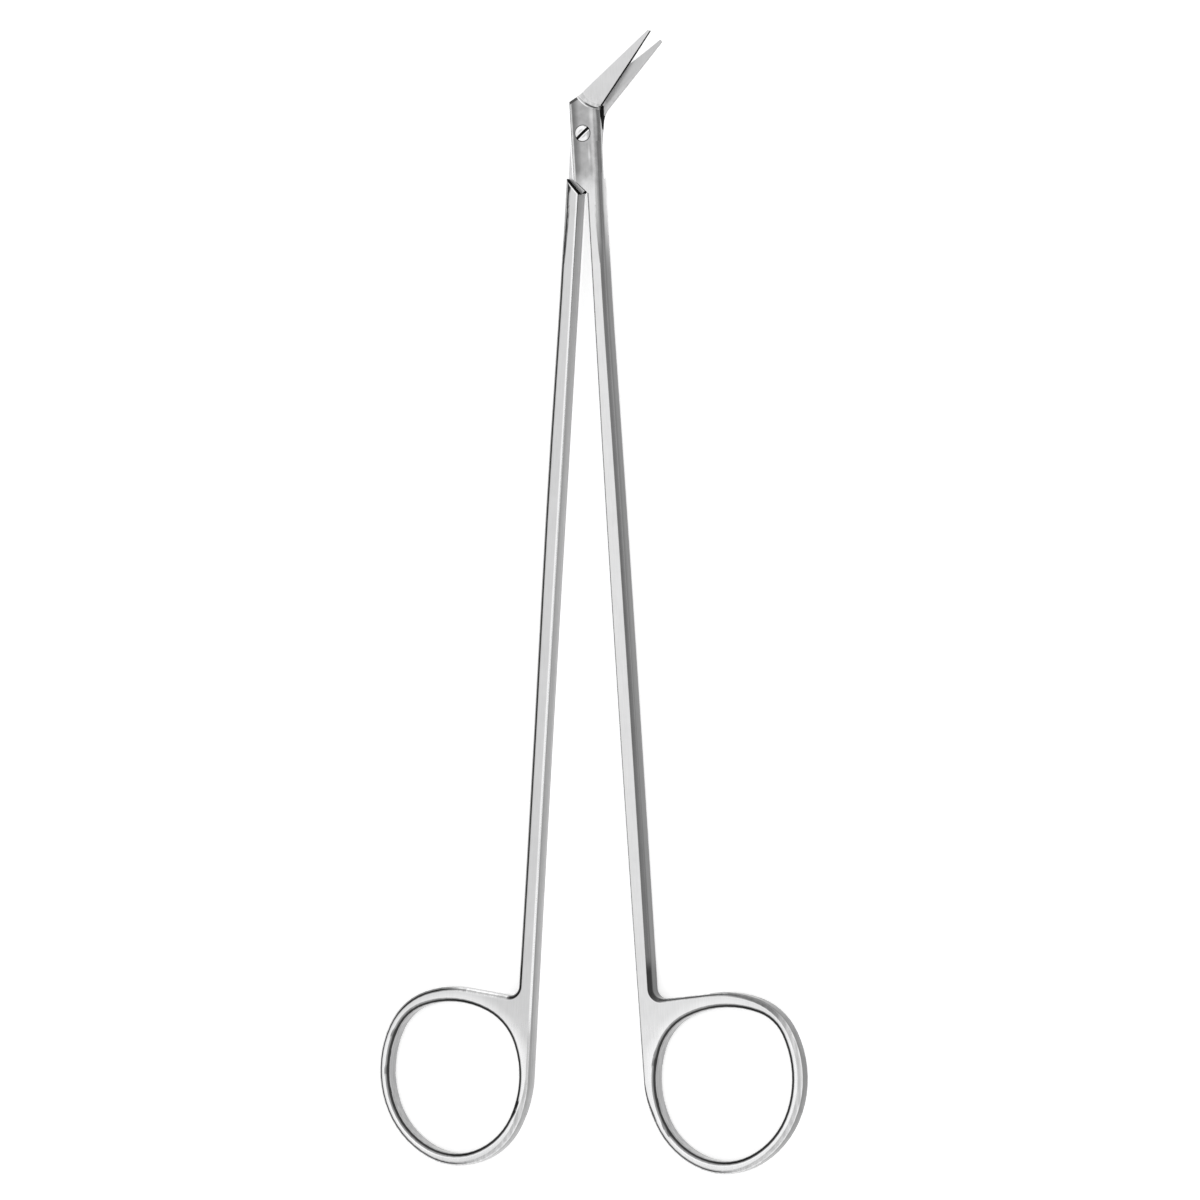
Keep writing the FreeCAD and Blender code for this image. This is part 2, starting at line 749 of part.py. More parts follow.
def make_edge_break(name, start, end, outside, height, beyond):
    """Box that takes a small bevel off a straight edge between a face and an upright end."""
    box = doc.addObject("Part::Box", name)
    along = (end - start).normalize()
    away = V(-along.y, along.x, 0) * outside
    normal = (away + V(0, 0, 1 if height > 0 else -1)).normalize()
    across = normal.cross(along)
    frame = FreeCAD.Matrix(along.x, across.x, normal.x, 0,
                           along.y, across.y, normal.y, 0,
                           along.z, across.z, normal.z, 0,
                           0, 0, 0, 1)
    box.Length = (end - start).Length + 1.0 + beyond
    box.Width = 2.0
    box.Height = 1.0
    edge = V(start.x, start.y, height)
    corner = edge - along - across - normal * (size("edge_break") / math.sqrt(2))
    box.Placement = FreeCAD.Placement(corner, FreeCAD.Rotation(frame))
    return box


def make_half(half):
    handle = make_handle(half)
    if half == "front":
        blank = make_blank(half, FRONT_CORNERS, {})
        scoop = make_scoop(half, 1)
        start = point("front_heel_x", "front_heel_y")
        end = point("front_tip_edge_x", "front_tip_edge_y")
        bevel = make_bevel(half, start, end, -1)
        hollow = make_hollow(half, 1)
    else:
        elbow = (size("back_elbow_x"), size("back_elbow_y"))
        blank = make_blank(half, BACK_CORNERS, {6: ("back_edge_radius", 1)}, elbow)
        scoop = make_scoop(half, -1)
        start = point("back_edge_start_x", "back_edge_start_y")
        end = point("back_tip_edge_x", "back_tip_edge_y")
        bevel = make_bevel(half, start, end, -1)
        hollow = make_hollow(half, -1)
    space = make_lap_space(half)
    lapped = make_feature("Part::Cut", half + "_handle_lapped", Base=handle, Tool=space)
    forging = make_feature("Part::MultiFuse", half + "_forging", Shapes=[lapped, blank])
    forging.Refine = True
    level = size("stock_thickness") / 2
    slant = make_edge_break(half + "_slant_break",
                            point(half + "_block_side", "slant_outer_y"),
                            point(half + "_inner_joint", "slant_inner_y"), -1, level, 0.0)
    shoulder = make_edge_break(half + "_shoulder_break",
                               point(half + "_inner_joint", "shoulder_inner_y"),
                               point(half + "_outer_joint", "shoulder_outer_y"), 1, -level, 1.0)
    ground = [scoop, bevel, hollow, make_crown(half), slant, shoulder]
    tools = []
    if half == "front":
        tools.append(round_tool("front_pivot_bore", "Cylinder",
                                Radius="screw_shank_dia / 2 + pivot_clearance",
                                Height="stock_thickness",
                                Placement__Base__z="0 - stock_thickness / 4"))
        tools.append(round_tool("front_head_seat", "Cone",
                                Radius1="screw_shank_dia / 2 + pivot_clearance",
                                Radius2="screw_head_dia / 2 + pivot_clearance",
                                Height="screw_head_cone",
                                Placement__Base__z="stock_thickness / 2 - screw_head_rim"
                                                   " - screw_head_cone - pivot_clearance"))
        tools.append(round_tool("front_head_bore", "Cylinder",
                                Radius="screw_head_dia / 2 + pivot_clearance",
                                Height="stock_thickness",
                                Placement__Base__z="stock_thickness / 2 - screw_head_rim"
                                                   " - pivot_clearance"))
    else:
        tools.append(round_tool("back_pivot_bore", "Cylinder",
                                Radius="screw_shank_dia / 2 + seat_clearance",
                                Height="stock_thickness",
                                Placement__Base__z="0 - stock_thickness / 4"))
    if half == "back":
        ground.append(make_relief())
        cutters = tools[0]
    else:
        cutters = make_feature("Part::MultiFuse", half + "_cutters", Shapes=tools)
    work = forging
    for number, tool in enumerate(ground, start=1):
        work = make_feature("Part::Cut", "%s_ground_%d" % (half, number), Base=work, Tool=tool)
    last = make_feature("Part::Cut", half + "_half", Base=work, Tool=cutters)
    turn = size("rest_opening") / 2
    if half == "front":
        rotation = FreeCAD.Rotation(V(0, 0, 1), turn)
    else:
        rotation = FreeCAD.Rotation(V(0, 0, 1), -turn).multiply(FreeCAD.Rotation(V(0, 1, 0), 180))
    last.Placement = FreeCAD.Placement(V(0, 0, size("stock_thickness") / 2), rotation)
    bind(last, "Placement.Base.z", "stock_thickness / 2")
    if half == "front":
        bind(last, "Placement.Rotation.Angle", "rest_opening / 2 * 1deg")
    return last


def make_screw():
    """Slotted screw: straight shank, coned seat, low domed head."""
    import Sketcher
    body = doc.addObject("PartDesign::Body", "screw_turned")
    plan = new_sketch(body, "screw_profile", "XZ_Plane")
    top = size("stock_thickness")
    shank = size("screw_shank_dia") / 2
    head = size("screw_head_dia") / 2
    low = size("screw_end_inset")
    bevel = size("screw_end_chamfer")
    neck = top - size("screw_head_rim") - size("screw_head_cone")
    rim = top - size("screw_head_rim")
    crown = top + size("screw_head_dome")
    corners = [
        (0.0, low, "0", "screw_end_inset"),
        (shank - bevel, low, "screw_shank_dia / 2 - screw_end_chamfer", "screw_end_inset"),
        (shank, low + bevel, "screw_shank_dia / 2", "screw_end_inset + screw_end_chamfer"),
        (shank, neck, "screw_shank_dia / 2", "stock_thickness - screw_head_rim - screw_head_cone"),
        (head, rim, "screw_head_dia / 2", "stock_thickness - screw_head_rim"),
        (head, top, "screw_head_dia / 2", "stock_thickness"),
        (0.0, crown, "0", "stock_thickness + screw_head_dome"),
    ]
    points = [V(x, z, 0) for x, z, _, _ in corners]
    count = len(points)
    ids = []
    for i in range(count):
        a = points[i]
        b = points[(i + 1) % count]
        if i == 5:
            # the dome, level at its crown
            rise = crown - top
            radius = (head * head + rise * rise) / (2 * rise)
            centre = V(0, crown - radius, 0)
            angle = math.asin(head / radius)
            middle = centre + V(math.sin(angle / 2), math.cos(angle / 2), 0) * radius
            ids.append(plan.addGeometry(Part.Arc(a, middle, b), False))
        else:
            ids.append(plan.addGeometry(Part.LineSegment(a, b), False))
    for i in range(count):
        j = (i + 1) % count
        first = 2
        plan.addConstraint(Sketcher.Constraint("Coincident", ids[i], first, ids[j], 1))
    for i, (x, z, tx, tz) in enumerate(corners):
        for kind, text, number in (("DistanceX", tx, x), ("DistanceY", tz, z)):
            index = plan.addConstraint(Sketcher.Constraint(kind, -1, 1, ids[i], 1, number))
            bind(plan, "Constraints[%d]" % index, text)
    plan.addConstraint(Sketcher.Constraint("PointOnObject", ids[5], 3, -2))
    turned = body.newObject("PartDesign::Revolution", "screw_revolved")
    turned.Profile = plan
    turned.ReferenceAxis = (plan, ["V_Axis"])
    turned.Angle = 360.0
    plan.Visibility = False
    doc.recompute()
    slot = doc.addObject("Part::Box", "screw_slot")
    bind(slot, "Length", "screw_head_dia + 1")
    bind(slot, "Width", "screw_slot_width")
    bind(slot, "Height", "screw_slot_depth + 1")
    angle = size("screw_slot_angle")
    turn = FreeCAD.Rotation(V(0, 0, 1), angle)
    corner = turn.multVec(V(-(size("screw_head_dia") + 1) / 2, -size("screw_slot_width") / 2, 0))
    level = top + size("screw_head_dome") - size("screw_slot_depth")
    slot.Placement = FreeCAD.Placement(corner + V(0, 0, level), turn)
    bind(slot, "Placement.Base.z", "stock_thickness + screw_head_dome - screw_slot_depth")
    return make_feature("Part::Cut", "pivot_screw", Base=body, Tool=slot)


# The three pieces
pieces = [make_half("front"), make_half("back"), make_screw()]
doc.recompute()
for piece in doc.Objects:
    if "Invalid" in piece.State or "Error" in piece.State:
        raise RuntimeError("not built: " + piece.Name)
os.makedirs("parts", exist_ok=True)
for piece in pieces:
    piece.Label = piece.Name
    shape = piece.Shape
    if shape.isNull() or not shape.isValid() or len(shape.Solids) != 1:
        raise RuntimeError("unsound shape: " + piece.Name)
    shape.exportStep("parts/%s.step" % piece.Name)
    print(piece.Name, round(shape.Volume, 2), shape.BoundBox)
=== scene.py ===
"""Finishes and stage for a pair of angled vascular scissors.

The blades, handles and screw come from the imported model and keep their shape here.
"""

import math

import bpy
from mathutils import Matrix, Vector


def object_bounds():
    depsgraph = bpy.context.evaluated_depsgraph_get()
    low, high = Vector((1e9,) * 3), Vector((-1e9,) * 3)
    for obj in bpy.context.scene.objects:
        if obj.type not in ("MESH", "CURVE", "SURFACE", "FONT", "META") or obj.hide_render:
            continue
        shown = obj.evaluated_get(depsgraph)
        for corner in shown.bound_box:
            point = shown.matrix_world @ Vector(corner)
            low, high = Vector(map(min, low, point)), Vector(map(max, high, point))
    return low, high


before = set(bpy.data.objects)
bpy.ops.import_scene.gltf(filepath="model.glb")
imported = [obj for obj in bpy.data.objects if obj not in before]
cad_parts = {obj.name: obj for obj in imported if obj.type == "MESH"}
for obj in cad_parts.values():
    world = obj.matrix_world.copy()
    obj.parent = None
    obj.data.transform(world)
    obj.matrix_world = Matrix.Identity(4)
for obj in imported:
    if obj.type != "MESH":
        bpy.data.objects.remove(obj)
CAD_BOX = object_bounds()

bl_info = {
    "name": "Vascular Scissors",
    "version": (1, 0, 0),
    "blender": (4, 5, 0),
    "location": "View3D > Sidebar > Scissors",
    "description": "Steel finishes, floor and lights for a pair of angled vascular scissors",
    "category": "Object",
}

# The two halves: how each leans and lies, its painted light offset, which paints the front
# half's flats and blade lighter and the back half's darker, and places and the facing of its
# cutting wall in its own frame. Lengths are in metres all through.
HALF_TURN = math.radians(3.8)
MID_HEIGHT = 0.00185
FRONT = {
    "lean": HALF_TURN,
    "side": 1.0,
    "painted_light_offset": 0.04,
    "scoop": (0.00390, 0.00888),
    "painted_scoop_lines": True,
    "ring": (0.0144, -0.1590),
    "cutting": (0.78, -0.626),
    "groove": None,
}
BACK = {
    "lean": -HALF_TURN,
    "side": -1.0,
    "painted_light_offset": -0.08,
    "scoop": (-0.00372, 0.00877),
    "painted_scoop_lines": False,
    "ring": (0.0130, -0.1586),
    "cutting": (0.607, 0.795),
    "groove": ((-0.00234, 0.00472), (-0.00283, 0.00090)),
}

# Facings, as the ends of a step on a part of the normal
UPRIGHT = (0.32, 0.12)
UPWARD = (0.0, 0.5)
OUTWARD = (-0.15, 0.15)
ROUNDED = (0.95, 0.62)
FLAT_LOW = 0.97
FLAT_HIGH = 0.995
FLAT_SLACK = 0.05
HOLE_FACING = (0.1, -0.1)
HOLE_LINE = (0.52, 0.88, 0.06)
CUTTING_FACING = (0.75, 0.9)
SPINE_FACING = (-0.6, -0.8)
SLOT_FACING = (0.45, 0.6)

# Where a part starts along the half
RING_START = (-0.146, -0.152)
HOLE_START = (-0.136, -0.142)
CROWN_START = (-0.140, -0.144)
NEAR_JOINT = (-0.024, -0.011)
JOINT_START = (-0.0100, -0.0058)
BLADE_START = (0.0060, 0.0064)

# Distances from the middle of the finger ring, and the crook where it meets the shank
HOLE_REACH = (0.0150, 0.0142)
CROWN_REACH = (0.0152, 0.0126)
CROOK_ALONG = (-0.1450, -0.1385, 0.0015)
CROOK_ACROSS = (0.0062, 0.0050)

# Heights of the side walls above the table
WALL_HEIGHT = (0.0036, 0.0006)
JOINT_WALL_HEIGHT = (0.0030, 0.0012)

# The face of the joint block, with its painted shade and highlights and a paler streak: across
# it, along it, and the painted dark line at its slanting corner
EDGE_HIGHLIGHT_ACROSS = (-0.00185, -0.00160)
MIDDLE_ACROSS = (-0.0015, -0.0002)
RIDGE_ACROSS = (0.00115, 0.0017)
PALE_STREAK_ACROSS = (0.00080, 0.00112, 0.00012)
PALE_STREAK_ALONG = (-0.0049, -0.0022, 0.0010)
CORNER = (-0.00264, 0.00512)
CORNER_SLOPE = (-0.44, 0.90)
CORNER_DEPTH = (-0.00052, -0.00038)
CORNER_START = (0.0048, 0.0051)

# The scoop at the blade's root, by distance from its middle, and the painted highlight and
# painted shade lines beside it
SCOOP_REACH = (0.00521, 0.00519)
RIM_REACH = (0.00521, 0.00536, 0.00004)
RIM_ACROSS = (0.0016, 0.0008)
FOOT_REACH = (0.00488, 0.00514, 0.00005)
FOOT_ACROSS = (0.0004, 0.0010)
SCOOP_LINES_END = (0.0066, 0.0060)

# The blade's outer face falls towards the tip, and its wall gets painted shade near that face
BLADE_TOP = 0.00088
BLADE_ROOT = 0.0076
BLADE_FALL = 0.0235
CUTTING_DEPTH = (0.00062, 0.00048)

# The slot between the halves at the handle end of the block, and the groove at the heel, both
# filled with painted shade
SLOT_ALONG = (-0.0112, -0.0065, 0.0002)
GROOVE_ACROSS = (0.00036, 0.00028)
GROOVE_RISE = 0.0006
GROOVE_SOFT = 0.0002
GROOVE_TOP = (0.0009, 0.0007)
GROOVE_FLOOR = (-0.0005, -0.0003)

# How light each part is painted, as a share of the polished steel: most are painted highlights
# and painted shade
BLOCK_SHADE = 0.25
MIDDLE_LIGHTER = 0.21
RIDGE_LIGHTER = 0.17
EDGE_HIGHLIGHT_SHADE = 0.82
PALE_STREAK_SHADE = 0.72
PALE_STREAK_STRENGTH = 0.8
CORNER_SHADE = 0.10
CROWN_HIGHLIGHT_SHADE = 0.98
INNER_EDGE_SHADE = 1.0
OUTER_EDGE_SHADE = 0.20
JOINT_EDGE_SHADES = (0.56, 0.15)
BLADE_EDGE_SHADE = 0.66
RING_EDGE_SHADE = 0.62
HOLE_EDGE_SHADES = (0.36, 0.05)
HOLE_WALL_SHADE = 0.34
CROOK_EDGE_SHADE = 0.05
CROOK_WALL_SHADE = 0.10
CROOK_WALL_STRENGTH = 0.7
JOINT_WALL_SHADES = (0.28, 0.64)
WALL_TOP_TO_FOOT = (0.75, 1.2)
WALL_INNER_TO_OUTER = (1.15, 0.62)
SPINE_SHADE = 0.38
BLADE_WALL_SHADE = 0.70
RIM_SHADE = 0.97
FOOT_SHADE = 0.12

# How uneven the steel is: noise scales, detail and strengths
GRAIN_STRETCH = 0.04
GRAIN_NOISE = (1.0, 3.0, 0.6)
STREAK_WIDTH = 3.5
STREAK_STRETCH = 0.01
STREAK_NOISE = (1.0, 2.0, 0.5)
CLOUD_NOISE = (420.0, 3.0, 0.55)
MOTTLE_NOISE = (900.0, 4.0, 0.6)
MOTTLE_ALONG = (-0.0090, 0.0060, 0.0012)
NOISE_MIDDLE = 0.5
GRAIN_SHADING = 0.22
CLOUD_SHADING = 0.16
MOTTLE_SHADING = 0.6
STREAK_SHADING = 0.9
GRAIN_GLOSS = 0.10
CLOUD_GLOSS = 0.06
RING_POLISH = 0.6

# The pivot screw's head, with its painted highlights and painted shade
SLOT_ANGLE = math.radians(42.0)
TURNING_PITCH = 0.00012
TURNING_DEPTH = 0.0000006
TURNING_GLOSS = 0.03
SCREW_ROUGHNESS = 0.2
HEAD_REACH = (0.00055, 0.0009)
HEAD_SHADES = (0.62, 0.98)
HEAD_SHADED_SIDE = (0.0004, 0.0010)
HEAD_SIDE_SLOPE = 0.3
HEAD_SIDE_SHADE = 0.50
HEAD_RIM_REACH = (0.00124, 0.00132)
HEAD_RIM_SHADE = 0.14
LIP_ASIDE = (0.00027, 0.00042, 0.00003)
LIP_SHADE = 1.0
SUNK_HEIGHT = (0.00368, 0.00362)
SUNK_FACING = (0.6, 0.4)
SUNK_ASIDE = (0.00027, 0.00023)
DRIVER_SLOT_ASIDE = (0.00030, 0.00026)
DRIVER_SLOT_FLOOR = (0.0030, 0.0033)

# The studio: what the world, the lamp, the floor and the lens are set to
LEFT_SIDE = (-0.05, -0.50)
LOW_DOWN = (0.84, 0.45)
HORIZON = (0.10, 0.02)
SKY_OVERHEAD = 0.92
SKY_LOW = 1.0
SKY_LOW_LEFT = 0.08
LAMP_PLACE = (-0.35, 0.25, 1.1)
LAMP_SIZE = (0.8, 0.8)
LAMP_WATTS = 0.35
FLOOR_GLOW = 0.58
FLOOR_ROUGHNESS = 0.85
FLOOR_MOTTLE = 0.1
FLOOR_NOISE = (60.0, 2.0)
FLOOR_GAP = 0.00002
SENSOR_WIDTH = 36.0
CLIP_START = 0.05
CLIP_END = 20.0

BLACK = (0.0, 0.0, 0.0, 1.0)
WHITE = (1.0, 1.0, 1.0, 1.0)


# Values that a user would change


class SteelSettings(bpy.types.PropertyGroup):
    """Colours and gloss of the steel."""

    tint: bpy.props.FloatVectorProperty(
        name="Steel tint",
        description="Colour of the brightest polished steel",
        subtype="COLOR",
        size=3,
        min=0.0,
        max=1.0,
        default=(0.95, 0.95, 0.955),
    )
    flat_shade: bpy.props.FloatProperty(
        name="Flat shade",
        description="Lightness of the satin flats, as a share of the polished steel",
        subtype="FACTOR",
        min=0.0,
        max=1.0,
        default=0.78,
    )
    blade_shade: bpy.props.FloatProperty(
        name="Blade shade",
        description="Lightness of the ground blades, as a share of the polished steel",
        subtype="FACTOR",
        min=0.0,
        max=1.0,
        default=0.77,
    )
    painted_wall_shade: bpy.props.FloatProperty(
        name="Wall shade",
        # Painted shade of the side walls, as a share of the polished steel
        description="Lightness of the side walls, as a share of the polished steel",
        subtype="FACTOR",
        min=0.0,
        max=1.0,
        default=0.26,
    )
    painted_recess_shade: bpy.props.FloatProperty(
        name="Recess shade",
        # Painted shade inside the slots and grooves and on the wall by the cutting edge, as a
        # share of the polished steel
        description="Lightness inside the slots and grooves, as a share of the polished steel",
        subtype="FACTOR",
        min=0.0,
        max=1.0,
        default=0.025,
    )
    satin_roughness: bpy.props.FloatProperty(
        name="Satin roughness",
        description="Roughness of the ground flats",
        subtype="FACTOR",
        min=0.0,
        max=1.0,
        default=0.34,
    )
    polish_roughness: bpy.props.FloatProperty(
        name="Polish roughness",
        description="Roughness of the rounded edges and the finger rings",
        subtype="FACTOR",
        min=0.0,
        max=1.0,
        default=0.13,
    )
    blade_roughness: bpy.props.FloatProperty(
        name="Blade roughness",
        description="Roughness of the ground blades",
        subtype="FACTOR",
        min=0.0,
        max=1.0,
        default=0.50,
    )
    grain_spacing: bpy.props.FloatProperty(
        name="Grain spacing",
        description="Distance between the marks that grinding leaves",
        subtype="DISTANCE",
        unit="LENGTH",
        min=0.00002,
        max=0.002,
        default=0.00016,
    )
    grain_depth: bpy.props.FloatProperty(
        name="Grain depth",
        description="Depth of the grinding marks on the flats",
        subtype="DISTANCE",
        unit="LENGTH",
        min=0.0,
        max=0.0001,
        default=0.0000012,
    )


class StageSettings(bpy.types.PropertyGroup):
    """Floor, light and view."""

    floor_colour: bpy.props.FloatVectorProperty(
        name="Floor colour",
        description="Colour of the plain floor",
        subtype="COLOR",
        size=3,
        min=0.0,
        max=1.0,
        default=(0.80, 0.80, 0.80),
    )
    floor_size: bpy.props.FloatProperty(
        name="Floor size",
        description="Width and depth of the floor",
        subtype="DISTANCE",
        unit="LENGTH",
        default=1.6,
    )
    view_tilt: bpy.props.FloatProperty(
        name="View tilt",
        description="Lean of the view from straight above towards the right",
        subtype="ANGLE",
        unit="ROTATION",
        default=math.radians(21.5),
    )
    view_width: bpy.props.FloatProperty(
        name="View width",
        description="Width of the picture at the object",
        subtype="DISTANCE",
        unit="LENGTH",
        default=0.1998,
    )
    view_distance: bpy.props.FloatProperty(
        name="View distance",
        description="Distance from the camera to the object",
        subtype="DISTANCE",
        unit="LENGTH",
        default=1.6,
    )
    view_target: bpy.props.FloatVectorProperty(
        name="View target",
        description="Point at the middle of the picture",
        subtype="TRANSLATION",
        unit="LENGTH",
        size=3,
        default=(0.0024, -0.07767, 0.00185),
    )


class ScissorsSettings(bpy.types.PropertyGroup):
    """All values of the scissors."""

    steel: bpy.props.PointerProperty(type=SteelSettings)
    stage: bpy.props.PointerProperty(type=StageSettings)


# Shader maths


class Value:
    """A socket of a shader tree. Python's operators on it add Math nodes."""

    def __init__(self, shader, socket):
        self.shader = shader
        self.socket = socket

    def math(self, operation, *others):
        return self.shader.math(operation, self, *others)

    def __add__(self, other):
        return self.math("ADD", other)

    def __radd__(self, other):
        return self.shader.math("ADD", other, self)

    def __sub__(self, other):
        return self.math("SUBTRACT", other)

    def __rsub__(self, other):
        return self.shader.math("SUBTRACT", other, self)

    def __mul__(self, other):
        return self.math("MULTIPLY", other)

    def __rmul__(self, other):
        return self.shader.math("MULTIPLY", other, self)

    def __truediv__(self, other):
        return self.math("DIVIDE", other)

    def __rtruediv__(self, other):
        return self.shader.math("DIVIDE", other, self)

    def __abs__(self):
        return self.math("ABSOLUTE")

    def step(self, low, high):
        """0 below low, 1 above high, smooth between. low may be above high."""
        return self.shader.node(
            "ShaderNodeMapRange",
            {"interpolation_type": "SMOOTHSTEP", "clamp": True},
            {"Value": self, "From Min": low, "From Max": high, "To Min": 0.0, "To Max": 1.0},
        )

    def band(self, low, high, soft):
        """1 between low and high, 0 outside, with soft edges."""
        return self.step(low - soft, low + soft) * self.step(high + soft, high - soft)

    def blend(self, other, factor):
        """This value where the factor is 0, the other where it is 1."""
        return self + factor * (other - self)

    def between(self, low, high):
        """low where this value is 0, high where it is 1."""
        return low + self * (high - low)


class Shader:
    """Builds one node tree."""

    def __init__(self, tree):
        self.tree = tree
        tree.nodes.clear()

    def add(self, kind, settings=None, inputs=None):
        """Adds a node: its settings first, then the values or links of its sockets."""
        made = self.tree.nodes.new(kind)
        for name, value in (settings or {}).items():
            setattr(made, name, value)
        for key, value in (inputs or {}).items():
            if isinstance(value, Value):
                self.tree.links.new(value.socket, made.inputs[key])
            else:
                made.inputs[key].default_value = value
        return made

    def node(self, kind, settings=None, inputs=None, output=0):
        """Adds a node and gives one of its outputs."""
        return Value(self, self.add(kind, settings, inputs).outputs[output])

    def math(self, operation, *values):
        return self.node("ShaderNodeMath", {"operation": operation}, dict(enumerate(values)))

    def split(self, vector):
        """The three numbers of a vector."""
        made = self.add("ShaderNodeSeparateXYZ", {}, {"Vector": vector})
        return [Value(self, output) for output in made.outputs]

    def length(self, x, y):
        """The length of a flat vector."""
        return self.math("SQRT", x * x + y * y)

    def noise(self, vector, scale, detail, roughness=0.5):
        return self.node(
            "ShaderNodeTexNoise",
            {"noise_dimensions": "3D"},
            {"Vector": vector, "Scale": scale, "Detail": detail, "Roughness": roughness},
        )

    def object_place(self):
        """A point's place in the object."""
        return self.node("ShaderNodeTexCoord", output=3)

    def facing(self):
        """The direction that a face looks in."""
        return self.node("ShaderNodeNewGeometry", output=1)

    def mix_colour(self, factor, first, second):
        """first where the factor is 0, second where it is 1."""
        return self.node(
            "ShaderNodeMix", {"data_type": "RGBA"}, {"Factor": factor, 6: first, 7: second}, 2
        )


def new_material(name):
    material = bpy.data.materials.new(name)
    material.use_nodes = True
    return material, Shader(material.node_tree)


def dress(node_name, material):
    """Puts a material on every slot of a CAD node."""
    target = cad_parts[node_name]
    for slot in target.material_slots:
        slot.material = material


# Steel


def steel_surface(shader, shade, painted_recess, roughness, height, settings):
    """Bare steel of a shade, with no gloss in its recesses, where painted shade makes them
    dark.
    """
    tint = tuple(settings.tint) + (1.0,)
    bump = shader.node(
        "ShaderNodeBump", {}, {"Strength": 1.0, "Distance": 1.0, "Height": height}
    )
    steel = shader.node(
        "ShaderNodeBsdfPrincipled",
        {},
        {
            "Base Color": shader.mix_colour(shade, BLACK, tint),
            "Metallic": 1.0 - painted_recess,
            "Roughness": roughness,
            "Specular IOR Level": 0.0,
            "Normal": bump,
        },
    )
    shader.add("ShaderNodeOutputMaterial", {}, {"Surface": steel})


def own_frame(shader, half):
    """Place and facing in a half's own frame: x outward, y to the blades, z off the lap."""
    turn = (0.0, 0.0, -half["lean"])
    along = shader.node(
        "ShaderNodeMapping",
        {"vector_type": "POINT"},
        {"Vector": shader.object_place(), "Rotation": turn},
    )
    facing = shader.node(
        "ShaderNodeMapping",
        {"vector_type": "NORMAL"},
        {"Vector": shader.facing(), "Rotation": turn},
    )
    x, y, z = shader.split(along)
    nx, ny, nz = shader.split(facing)
    side = half["side"]
    return along, (x * side, y, (z - MID_HEIGHT) * side), (nx * side, ny, nz * side)


class HalfMasks:
    """Where the parts of a half are: a mask is 1 on its part and 0 elsewhere."""

    def __init__(self, shader, place, facing, half):
        self.x, self.y, self.z = place
        nx, ny, nz = facing
        self.height = self.z * half["side"] + MID_HEIGHT
        self.level = abs(nz)
        self.upright = self.level.step(*UPRIGHT)
        self.upward = nz.step(*UPWARD)
        self.outward = nx.step(*OUTWARD)
        self.near_joint = self.outward * self.y.step(*NEAR_JOINT)

        scoop_x, scoop_y = half["scoop"]
        self.scoop_reach = shader.length(self.x - scoop_x, self.y - scoop_y)
        scooped = self.scoop_reach.step(*SCOOP_REACH)
        self.blade = scooped.math("MAXIMUM", self.y.step(*BLADE_START))
        self.joint = self.y.step(*JOINT_START) * (1.0 - self.blade)
        flat_from = FLAT_LOW - (self.joint + self.blade) * FLAT_SLACK
        self.flat = self.level.step(flat_from, FLAT_HIGH)

        ring_x, ring_y = half["ring"]
        aside, below = self.x - ring_x, self.y - ring_y
        reach = shader.length(aside, below)
        away = (nx * aside + ny * below) / reach
        in_hole = away.step(*HOLE_FACING) * self.y.step(*HOLE_START)
        self.hole = in_hole * reach.step(*HOLE_REACH)
        self.ring = self.y.step(*RING_START)
        self.crown = reach.step(*CROWN_REACH) * self.y.step(*CROWN_START)
        self.crook = self.y.band(*CROOK_ALONG) * self.x.step(*CROOK_ACROSS) * self.outward

        cut_x, cut_y = half["cutting"]
        cut_facing = nx * cut_x + ny * cut_y
        blade_wall = self.upright * self.blade
        self.cutting = cut_facing.step(*CUTTING_FACING) * blade_wall
        self.spine = cut_facing.step(*SPINE_FACING) * blade_wall
        self.blade_wall = blade_wall
        self.slot = abs(ny).step(*SLOT_FACING) * self.upright * self.y.band(*SLOT_ALONG)


def painted_block_shade(x, y):
    """The block's face across its width, in painted light: a painted highlight along its edge,
    then painted shade, paler outward.
    """
    middle = x.step(*MIDDLE_ACROSS) * MIDDLE_LIGHTER
    ridge = x.step(*RIDGE_ACROSS) * RIDGE_LIGHTER
    shade = (BLOCK_SHADE + middle + ridge).blend(EDGE_HIGHLIGHT_SHADE, 1.0 - x.step(*EDGE_HIGHLIGHT_ACROSS))
    # a paler streak along part of the block's face
    pale_streak = x.band(*PALE_STREAK_ACROSS) * y.band(*PALE_STREAK_ALONG)
    shade = shade.blend(PALE_STREAK_SHADE, pale_streak * PALE_STREAK_STRENGTH)
    # painted shade along the slanting corner between the block's side and the blade's neck
    corner = (x - CORNER[0]) * CORNER_SLOPE[0] + (y - CORNER[1]) * CORNER_SLOPE[1]
    return shade.blend(CORNER_SHADE, corner.step(*CORNER_DEPTH) * y.step(*CORNER_START))


def flat_shade(masks, half, settings):
    """The flats of shank, block and blade, with the block's painted shade and a painted
    highlight along the finger ring's crown.
    """
    on_block = masks.joint * masks.upward
    # painted light: the offset paints the front half's flats and blade lighter and the back
    # half's darker
    shank = settings.flat_shade + half["painted_light_offset"]
    # painted shade and painted highlights on the block's face
    shade = on_block.between(shank, painted_block_shade(masks.x, masks.y))
    shade = shade.blend(settings.blade_shade + half["painted_light_offset"], masks.blade)
    # painted highlight along the finger ring's crown
    return shade.blend(CROWN_HIGHLIGHT_SHADE, masks.crown)


